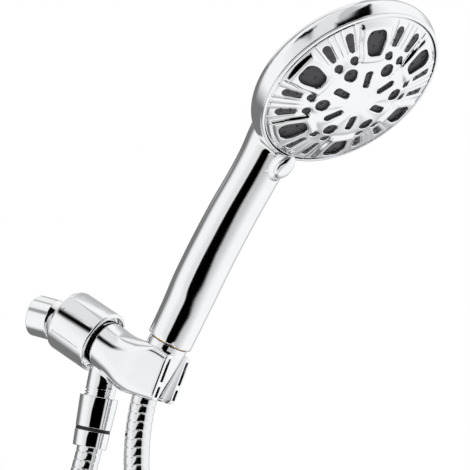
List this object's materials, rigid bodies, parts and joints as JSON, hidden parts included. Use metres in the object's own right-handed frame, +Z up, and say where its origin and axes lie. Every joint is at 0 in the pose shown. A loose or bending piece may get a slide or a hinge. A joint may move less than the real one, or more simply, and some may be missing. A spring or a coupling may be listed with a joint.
{
  "type": "handheld shower head",
  "caption": "Chrome handheld shower head with a turning spray face, parked in a ball-jointed bracket, with its steel hose",
  "frame": {"origin": "centre of the open end of the inlet socket, where the shower arm screws in", "axes": "+Z up, +X away from the wall along the bracket and under the head, +Y to the left of someone who faces the wall; metres"},
  "size_m": [0.306, 0.1203, 0.5119],
  "materials": {
    "chrome_plastic": "bright chrome plating on moulded ABS, mirror polished",
    "chrome_brass": "bright chrome plating on turned brass",
    "brass": "bare turned brass",
    "hose_steel": "stainless steel double interlock hose, bright, ribbed",
    "spring_steel": "stainless steel, drawn wire and turned",
    "dark_silicone": "dark grey silicone rubber, satin",
    "black_rubber": "black rubber, satin",
    "white_plastic": "natural white acetal, moulded",
    "grey_plastic": "grey ABS, moulded"
  },
  "bodies": {
    "inlet": {"ball_fitting": "chrome_brass", "inlet_filter_washer": "black_rubber"},
    "rear_seat": {"rear_ball_seat": "white_plastic"},
    "front_seat": {"front_ball_seat": "white_plastic", "slip_ring": "white_plastic"},
    "bracket": {"bracket_body": "chrome_plastic", "outlet_insert": "chrome_brass", "check_valve": "white_plastic", "hose_washer": "black_rubber", "lower_ferrule": "brass", "nut_sleeve": "chrome_brass", "hose_lower_run": "hose_steel", "hose_upper_run": "hose_steel", "hose_coil": "hose_steel", "coil_ties": "black_rubber"},
    "collar": {"collar_nut": "chrome_plastic"},
    "hose_nut": {"hose_nut": "chrome_brass", "nut_band": "black_rubber"},
    "hose_end": {"cone_nut": "chrome_brass", "cone_washer": "black_rubber", "upper_ferrule": "brass"},
    "handset": {"handset_shell": "chrome_plastic", "rim_trim_ring": "chrome_plastic", "handle_spigot": "brass", "flow_restrictor": "white_plastic", "handle_water_tube": "white_plastic", "tube_orings": "black_rubber", "valve_body": "grey_plastic", "port_seal": "black_rubber", "port_seal_spring": "spring_steel", "detent_ball": "spring_steel", "detent_spring": "spring_steel", "centre_screw": "spring_steel", "centre_washer": "spring_steel", "valve_body_screws": "spring_steel", "diverter_oring": "black_rubber"},
    "spray_face": {"selector_lever": "chrome_plastic", "face_plate": "chrome_plastic", "nozzle_sheet": "dark_silicone", "diverter_disc": "grey_plastic", "face_screws": "spring_steel"}
  },
  "joints": [
    {"name": "bracket_tilt", "type": "hinge", "parent": "inlet", "child": "rear_seat", "pos_m": [0.03041, 0, -0.00895], "axis": [0, 1, 0], "range_deg": [-30, 3]},
    {"name": "bracket_pan", "type": "hinge", "parent": "rear_seat", "child": "front_seat", "pos_m": [0.03041, 0, -0.00895], "axis": [0.5446, 0, 0.8387], "range_deg": [-10, 10]},
    {"name": "bracket_spin", "type": "hinge", "parent": "front_seat", "child": "bracket", "pos_m": [0.03041, 0, -0.00895], "axis": [0.8387, 0, -0.5446], "range_deg": [-90, 90]},
    {"name": "collar_turn", "type": "hinge", "parent": "bracket", "child": "collar", "pos_m": [0.03041, 0, -0.00895], "axis": [0.8387, 0, -0.5446], "range_deg": [0, 30]},
    {"name": "hose_nut_turn", "type": "hinge", "parent": "bracket", "child": "hose_nut", "pos_m": [0.04952, 0, -0.0321], "axis": [-0.2181, 0, -0.9759], "continuous": true},
    {"name": "hose_end_lift", "type": "slide", "parent": "bracket", "child": "hose_end", "axis": [0.515, 0, 0.8572], "range_m": [0, 0.07]},
    {"name": "handset_turn", "type": "hinge", "parent": "hose_end", "child": "handset", "pos_m": [0.09316, 0, -0.0218], "axis": [0.515, 0, 0.8572], "range_deg": [-90, 90]},
    {"name": "spray_select", "type": "hinge", "parent": "handset", "child": "spray_face", "pos_m": [0.21911, -0.00734, 0.1208], "axis": [0.6009, -0.1944, -0.7753], "range_deg": [-45, 67.5]}
  ]
}
